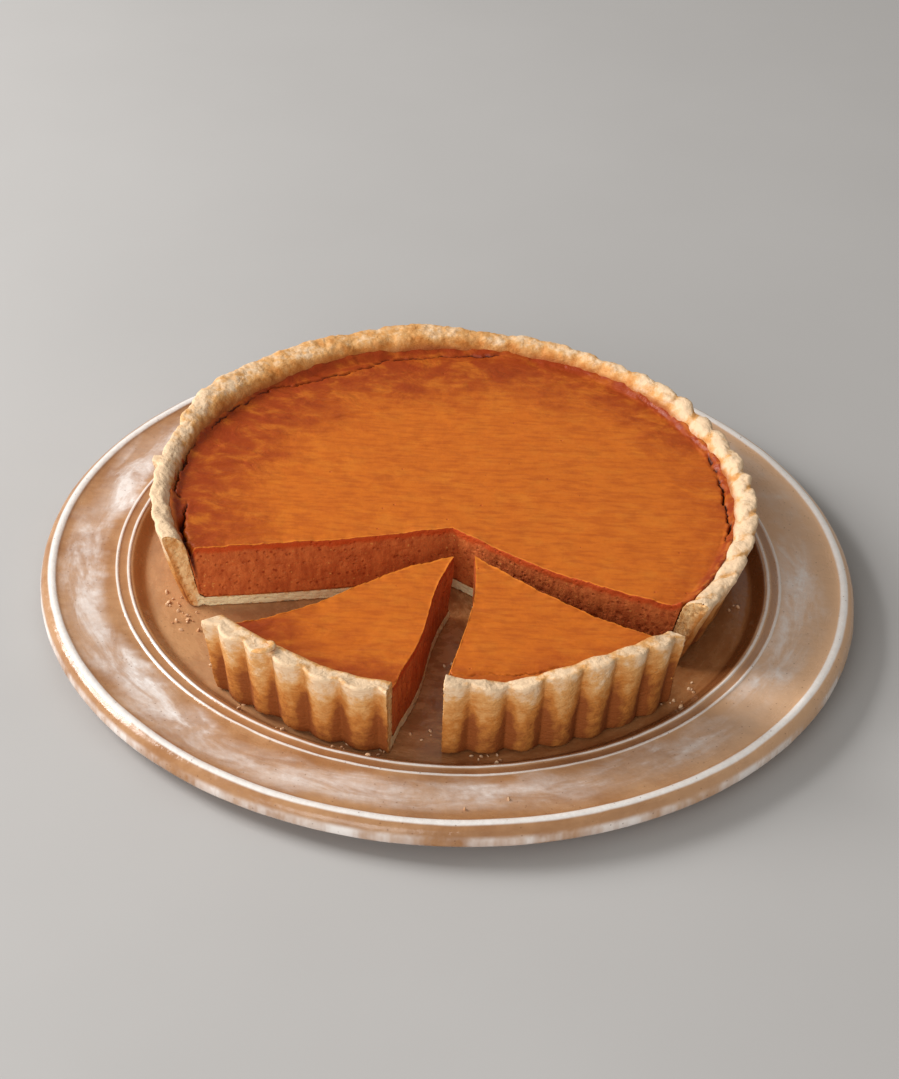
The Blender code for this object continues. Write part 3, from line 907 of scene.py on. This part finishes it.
def custardMaterial():
    c = custardColours
    made, tree, shader, spot = newMaterial("bakedCustard")
    fromWall, fromCut = kept(tree, "fromWall"), kept(tree, "fromCut")
    crack, cut, depth = kept(tree, "crack"), kept(tree, "cutFace"), kept(tree, "depth")
    patch = patches(spot, 0.024, 0.2)
    cloud = patches(spot, 0.0075, 0.2)
    x, y, _ = axes(spot)
    # the top skin: darker and redder towards the pastry, most of all at the far left
    reach = fromWall - 0.018 * patch + (x * 0.16 - y * 0.13)
    outer = spread(reach, -0.014, 0.034, 1.0, 0.0)
    top = mixColour(outer, c["centre"], c["outer"])
    mottle = noise(stretched(spot, 0.75, 1.0, 1.0), 120.0, 4.0, 0.6, 0.35)
    top = mixColour(spread(mottle, 0.48, 0.68) * (outer * 0.62 + 0.05), top, c["blotch"])
    top = mixColour(spread(mottle, 0.54, 0.3) * 0.66, top, c["bright"])
    wiped = noise(stretched(spot, 0.22, 1.0, 1.0), 420.0, 3.0, 0.6)
    blotch = spread(noise(spot, 210.0, 2.0, 0.5), 0.52, 0.7)
    darker = cloud * 0.22 + spread(wiped, 0.42, 0.66) * 0.3 + blotch * (outer * 0.3 + 0.04)
    top = mixColour(limited(darker), top, c["outer"])
    # the dried band beside the pastry, and the lighter edge against it at the two sides
    band = spread(cloud * 0.003 + fromWall, 0.0064, 0.0026) * spread(mottle, 0.3, 0.6, 0.4, 0.92)
    top = mixColour(band, top, c["band"])
    crustward = spread(blotch * 0.0016 + fromWall, 0.0026, 0.0008)
    torn = spread(noise(spot, 330.0, 2.0, 0.6), 0.46, 0.58)
    atSides = spread(x, -0.07, -0.1) * 0.7 + spread(x, 0.055, 0.085) * torn
    top = mixColour(limited(crustward * atSides), top, c["crustward"])
    edge = spread(fromCut, 0.0012, 0.0003) * spread(fromWall, 0.0, 0.002)
    top = mixColour(edge * 0.7, top, c["edgeLine"])
    pins = spread(cells(spot, 95.0), 0.03, 0.055, 1.0, 0.0)
    top = mixColour(pins * 0.55, top, c["skin"])
    # painted shade: the split beside the pastry is coloured near black, the shade down in the crack
    top = mixColour(spread(crack, 0.15, 0.75), top, c["split"])
    # the cut faces, under the line of the skin
    grain = placeGroup(fineGrain, {"Vector": spot, "Size": 0.0016})
    streaks = noise(stretched(spot, 1.0, 1.0, 0.35), 420.0, 4.0, 0.6)
    body = mixColour(spread(streaks, 0.33, 0.66), c["bodyDark"], c["body"])
    # painted shade: the pores and holes of the cut face are coloured darker, the shade inside the pits
    body = mixColour(grain["Pores"] * 0.45, body, c["bodyDark"])
    holes = spread(cells(spot, 260.0), 0.11, 0.22, 1.0, 0.0)
    body = mixColour(holes * 0.75, body, c["blotch"])
    flecks = spread(noise(spot, 700.0, 1.0), 0.7, 0.76)
    body = mixColour(flecks * 0.7, body, c["fleck"])
    skinLine = spread(cloud * 0.0011 + depth, 0.0022, 0.0044, 1.0, 0.0)
    body = mixColour(skinLine * 0.88, body, c["skin"])
    # painted shade where the split reaches the cut face
    body = mixColour(spread(crack, 0.2, 0.8), body, c["split"])
    feed(shader["Base Color"], mixColour(cut, top, body))
    feed(shader["Roughness"], cut * 0.16 + (spread(cloud, 0.0, 1.0, 0.42, 0.54) - 0.06 * band))
    smooth = noise(spot, 900.0, 3.0, 0.6) * 0.1 + noise(spot, 260.0, 2.0, 0.5) * 0.22 - pins * 0.3
    ripples = noise(stretched(spot, 0.55, 1.0, 1.0), 95.0, 3.0, 0.5, 1.4)
    smooth = ripples * (outer * 1.5 + 0.45) + smooth
    coarse = grain["Height"] - grain["Pores"] * 0.7
    surface = output(tree, "ShaderNodeMix", {"data_type": "FLOAT"}, {0: cut, 2: smooth, 3: coarse})
    feed(shader["Normal"], bumpNormal(surface, 0.0008, 0.8))
    feed(shader["Specular IOR Level"], 0.18)
    return made


plateColours = {
    "tan": (0.50, 0.270, 0.130), "lightTan": (0.70, 0.430, 0.245),
    "deepTan": (0.33, 0.145, 0.055), "wash": (0.85, 0.78, 0.73),
    "slope": (0.20, 0.064, 0.018), "white": (0.90, 0.87, 0.83), "well": (0.30, 0.110, 0.034),
    "wellTan": (0.47, 0.215, 0.080), "wellPale": (0.64, 0.375, 0.190), "speck": (0.16, 0.060, 0.020),
}


def plateMaterial():
    c, s = plateColours, plateSizes
    made, tree, shader, spot = newMaterial("mottledGlaze")
    flat = stretched(spot, 1.0, 1.0, 0.0)
    sway = noise(spot, 45.0, 2.0) * 0.0008 - 0.0004
    radius = vectorCalc("LENGTH", flat) + sway
    height = axes(spot)[2]
    streaky = stretched(spot, 0.55, 1.0, 1.0)
    broad, cloud = patches(streaky, 0.05, 0.19), patches(streaky, 0.015, 0.24)
    speck = patches(spot, 0.0022, 0.12)
    tan = mixColour(cloud, c["tan"], c["deepTan"])
    lean = vectorCalc("DOT_PRODUCT", spot, (-0.9, -0.43, 0.0))  # how far towards the near left
    # painted light: the near left of the plate is made paler, where the window light falls and glares off the
    # glaze
    nearLeftLight = spread(lean, 0.02, 0.15)
    # painted light: the tan is lifted to a lighter tan towards the right and back of the plate
    tan = mixColour(spread(lean, 0.04, -0.12) * 0.95, tan, c["lightTan"])
    strayed = radius + (broad * 0.009 - 0.0045)
    middle = spread(strayed, 0.1355, 0.143) * spread(strayed, 0.1595, 0.148)
    # a place that changes slowly round the plate and fast across its rim
    turned = vectorCalc("SCALE", vectorCalc("NORMALIZE", flat), 0.045)
    ringwise = vectorCalc("ADD", turned, joined(0.0, 0.0, radius))
    middle = middle * spread(noise(ringwise, 95.0, 4.0, 0.62, 0.6), 0.38, 0.62, 0.25, 1.0)
    cloud = spread(noise(ringwise, 190.0, 4.0, 0.6), 0.34, 0.66)
    # the pale wash on the rim: real whitish glaze patches, plus painted glare at the near left
    wash = middle * (broad * (1.0 - 0.5 * cloud)) + nearLeftLight * middle * 0.54
    rim = mixColour(limited(wash * (speck * 0.22 + 0.86)), tan, c["wash"])
    # painted shadow: towards the right the well keeps more of its darkest brown, where the pie's shadow falls
    well = mixColour(cloud * spread(lean, -0.1, 0.02, 0.3, 1.0), c["well"], c["wellTan"])
    # painted light: the well floor made paler towards the near left
    well = mixColour(speck * 0.06 + nearLeftLight * 0.5, well, c["wellPale"])
    colour = mixColour(spread(radius, 0.1235, 0.1245), well, rim)
    slope = spread(radius, 0.1228, 0.1242) * spread(radius, 0.1296, 0.1284)
    between = spread(radius, 0.1308, 0.1318) * spread(radius, 0.1345, 0.1335)
    # the sloping wall into the well: its own dark brown glaze, darkened further as painted shade, and made
    # lighter at the near left as painted light
    slopeTone = mixColour(nearLeftLight * 0.85, c["slope"], c["wellTan"])
    colour = mixColour(slope, colour, slopeTone)
    colour = mixColour(between * 0.5, colour, slopeTone)
    # the pale rings and ridge, worn a little, and only on the top
    rings = None
    for ring, half, strength in ((s["rings"][0], 0.0006, 0.74), (s["rings"][1], 0.0006, 0.74),
                                 (s["ridge"], 0.0015, 0.92)):
        off = abs(radius - ring)
        line = spread(off, half * 0.7, half * 1.3, strength, 0.0)
        rings = line if rings is None else calc("MAXIMUM", rings, line)
    isTop = spread(height, s["rimTop"] - 0.0015, s["rimTop"] - 0.0008)
    colour = mixColour(rings * isTop * (1.0 - 0.1 * speck), colour, c["white"])
    lowEdge = spread(radius, 0.164, 0.1652) * spread(height, 0.0122, 0.01)
    colour = mixColour(lowEdge * cloud, colour, c["wash"])
    dots = spread(cells(spot, 300.0), 0.06, 0.12, 0.5, 0.0)
    colour = mixColour(dots, colour, c["speck"])
    feed(shader["Base Color"], colour)
    feed(shader["Roughness"], spread(cloud, 0.0, 1.0, 0.16, 0.3))
    feed(shader["Normal"], bumpNormal(noise(spot, 150.0), 0.0009, 0.45))
    feed(shader["Specular IOR Level"], 0.5)
    return made


pastryFinish = pastryMaterial()
custardFinish = custardMaterial()
glazeFinish = plateMaterial()
print("materials made")

fluted = flutedPastryTree()
custardSurface = custardTree()
for pieceName, shape in pieceShapes.items():
    case = buildCase("case_" + pieceName, shape)
    runTree(case, fluted, shape, pastrySizes, {"middle": (*shape["place"], 0.0), "finish": pastryFinish})
    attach(case, "root")
    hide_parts("crust_" + pieceName)
    custard = buildFilling("custard_" + pieceName, shape, crackPaths[pieceName])
    runTree(custard, custardSurface, shape, fillingSizes, {"finish": custardFinish})
    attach(custard, "root")
    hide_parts("filling_" + pieceName)
    print("built", pieceName, len(case.data.polygons), len(custard.data.polygons))

plate = buildPlate()
runTree(plate, potteryTree(), plateSizes, {"finish": glazeFinish})
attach(plate, "root")
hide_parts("plate")
print("built the plate", len(plate.data.polygons))


# crumbs on the plate, each cluster as x, y, spread and number, in mm

crumbPlaces = {
    "clusters": ((-102.3, -46.3, 3.0, 7), (-109.4, -32.4, 3.5, 9), (-104.0, -38.0, 5.0, 6),
                 (-76.3, -95.4, 1.5, 3), (-61.0, -110.8, 1.5, 3), (-37.0, -117.1, 2.0, 5),
                 (-22.0, -119.5, 3.0, 4), (13.4, -118.6, 1.5, 3), (19.5, -118.8, 2.5, 6),
                 (89.2, -80.8, 2.5, 5), (96.0, -72.0, 3.5, 4), (-6.0, -112.0, 3.5, 4),
                 (3.0, -60.0, 3.5, 4), (23.5, -145.8, 0.8, 1), (10.2, -152.6, 0.8, 1),
                 (-80.0, -66.0, 6.0, 5), (60.0, 128.6, 1.5, 2), (118.0, -18.0, 2.0, 3)),
    "smallest": 0.32, "largest": 1.05, "seed": 12,
}


def plateHeight(distance):
    top, _ = plateSection()
    return float(np.interp(distance, top[:, 0], top[:, 1]))


def crumbPoints():
    dice = np.random.default_rng(crumbPlaces["seed"])
    points = []
    for x, y, around, count in crumbPlaces["clusters"]:
        for _ in range(count):
            spotX, spotY = 0.001 * (x + dice.normal(0, around)), 0.001 * (y + dice.normal(0, around))
            points.append((spotX, spotY, plateHeight(math.hypot(spotX, spotY)) + 0.0003))
    mesh = bpy.data.meshes.new("crumbs")
    mesh.from_pydata(points, [], [])
    return addObject("crumbs", mesh)


def crumbTree():
    tree, given, result = surfaceTree("scatteredCrumbs", "Smallest, Largest", {"Int": "Seed"})
    ball = output(tree, "GeometryNodeMeshIcoSphere", None, {"Radius": 0.001, "Subdivisions": 2})
    size = output(tree, "FunctionNodeRandomValue", {"data_type": "FLOAT"},
                  {2: given["Smallest"], 3: given["Largest"], "Seed": given["Seed"]}, 1)
    turn = output(tree, "FunctionNodeRandomValue", {"data_type": "FLOAT_VECTOR"},
                  {1: (6.283, 6.283, 6.283), "Seed": given["Seed"]})
    placed = output(tree, "GeometryNodeInstanceOnPoints", None, {
        "Points": given["Mesh"], "Instance": ball, "Rotation": turn,
        "Scale": joined(size * 1.25, size * 0.9, size * 0.55)})
    spot = output(tree, "GeometryNodeInputPosition")
    crag = (noise(spot, 620.0, 2.0, 0.6) - 0.5) * 0.0005
    return finishTree(tree, given, result, raised(realized(placed), crag))


def crumbMaterial():
    c = pastryColours
    made, tree, shader, spot = newMaterial("bakedCrumb")
    freckle = patches(spot, 0.0022, 0.2)
    feed(shader["Base Color"], mixColour(freckle * 0.7, c["cream"], c["golden"]))
    grain = placeGroup(fineGrain, {"Vector": spot, "Size": 0.0006})
    feed(shader["Roughness"], spread(grain["Height"], 0.3, 0.7, 0.66, 0.86))
    feed(shader["Normal"], bumpNormal(grain["Height"], 0.0002, 0.4))
    return made


crumbs = crumbPoints()
runTree(crumbs, crumbTree(), crumbPlaces, {"finish": crumbMaterial()})
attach(crumbs, "root")
print("built the crumbs", len(crumbs.data.polygons))


# one curled flake of pastry standing on the left slice's rim: points along it in mm, then its
# half width and half thickness there

curlPath = (((-71.0, -106.6, 45.2), 0.4, 0.3), ((-69.4, -107.3, 46.2), 1.2, 0.7),
            ((-67.2, -107.9, 46.5), 1.4, 0.9), ((-64.9, -107.0, 46.6), 1.4, 0.9),
            ((-63.1, -104.7, 46.6), 1.2, 0.8), ((-63.9, -102.6, 46.7), 1.1, 0.7),
            ((-66.0, -102.3, 46.5), 0.5, 0.3))


def buildCurl():
    middles = np.array([spot for spot, _, _ in curlPath], float)
    sizes = np.array([(wide, thick) for _, wide, thick in curlPath], float)
    steps = np.linspace(0, len(middles) - 1, 31)
    line = np.stack([np.interp(steps, np.arange(len(middles)), middles[:, k]) for k in range(3)], axis=1)
    for _ in range(4):  # eases the bends
        line[1:-1] = 0.25 * line[:-2] + 0.5 * line[1:-1] + 0.25 * line[2:]
    wide, thick = (np.interp(steps, np.arange(len(middles)), sizes[:, k]) for k in (0, 1))
    ahead = np.gradient(line, axis=0)
    ahead /= np.linalg.norm(ahead, axis=1)[:, None]
    aside = np.cross(ahead, (0.0, 0.0, 1.0))
    aside /= np.linalg.norm(aside, axis=1)[:, None]
    over = np.cross(aside, ahead)
    turn = np.linspace(0, 2 * math.pi, 17)
    around = aside[:, None] * (wide[:, None] * np.cos(turn))[..., None]
    around = around + over[:, None] * (thick[:, None] * np.sin(turn))[..., None]
    sheet = 0.001 * (line[:, None] + around)
    caps = [sheet[0, :-1], sheet[-1, :-1]]
    low = {"upWall": np.full(sheet.shape[:2], 0.9), "lobe": np.ones(sheet.shape[:2])}
    return addObject("curledFlake", closedMesh("curledFlake", [(sheet, 0.0, low)], caps))


curl = buildCurl()
curl.data.materials.append(pastryFinish)
curl.data.shade_smooth()
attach(curl, "root")
print("built the curled flake", len(curl.data.polygons))


# the table, the light and the camera

def floorMaterial():
    made, tree, shader, spot = newMaterial("paleFloor")
    patch = patches(spot, 0.6, 0.3)
    feed(shader["Base Color"], mixColour(patch, (0.45, 0.435, 0.42), (0.5, 0.485, 0.47)))
    feed(shader["Roughness"], 0.85)
    return made


floorHalf = 4.0
floorMesh = bpy.data.meshes.new("floor")
floorMesh.from_pydata([(-floorHalf, -floorHalf, 0), (floorHalf, -floorHalf, 0), (floorHalf, floorHalf, 0),
                       (-floorHalf, floorHalf, 0)], [], [(0, 1, 2, 3)])
floorMesh.materials.append(floorMaterial())
floor = addObject("floor", floorMesh)

lamps = {  # where each soft light stands, its size and its power in watts
    "window": ((-1.30, 0.35, 0.90), 0.75, 28.0),
    "front": ((-0.70, -1.70, 0.70), 1.2, 20.0),
}
for lampName, (spot, size, power) in lamps.items():
    light = bpy.data.lights.new(lampName, "AREA")
    light.shape = "SQUARE"
    light.size = size
    light.energy = power
    lamp = bpy.data.objects.new(lampName, light)
    lamp.location = spot
    lamp.rotation_euler = (Vector((0, 0, 0.02)) - Vector(spot)).to_track_quat("-Z", "Y").to_euler()
    bpy.context.scene.collection.objects.link(lamp)

world = bpy.data.worlds.new("studio")
world.use_nodes = True
background = world.node_tree.nodes["Background"]
background.inputs["Color"].default_value = (1.0, 0.97, 0.93, 1.0)
background.inputs["Strength"].default_value = 0.32
bpy.context.scene.world = world
bpy.context.scene.view_settings.view_transform = "Standard"

cameraPlace = {"down": 35.585, "roll": 2.684, "distance": 1.04373, "side": -0.000257,
               "back": 0.013316, "level": 0.0141, "focal": 2526.0, "longSide": 1079.0}


def addCamera():
    c = cameraPlace
    down, roll = math.radians(c["down"]), math.radians(c["roll"])
    away = Vector((0.0, -math.cos(down), math.sin(down)))
    eye = Vector((c["side"], c["back"], c["level"])) + away * c["distance"]
    right, up = Vector((1.0, 0.0, 0.0)), Vector((0.0, math.sin(down), math.cos(down)))
    turnedRight = math.cos(roll) * right + math.sin(roll) * up
    turnedUp = -math.sin(roll) * right + math.cos(roll) * up
    camera = bpy.data.cameras.new("camera")
    camera.sensor_width = 36.0
    camera.lens = c["focal"] / c["longSide"] * camera.sensor_width
    camera.clip_start = 0.01
    obj = bpy.data.objects.new("camera", camera)
    pose = Matrix((turnedRight, turnedUp, away)).transposed().to_4x4()
    pose.translation = eye
    obj.matrix_world = pose
    bpy.context.scene.collection.objects.link(obj)
    bpy.context.scene.camera = obj


addCamera()
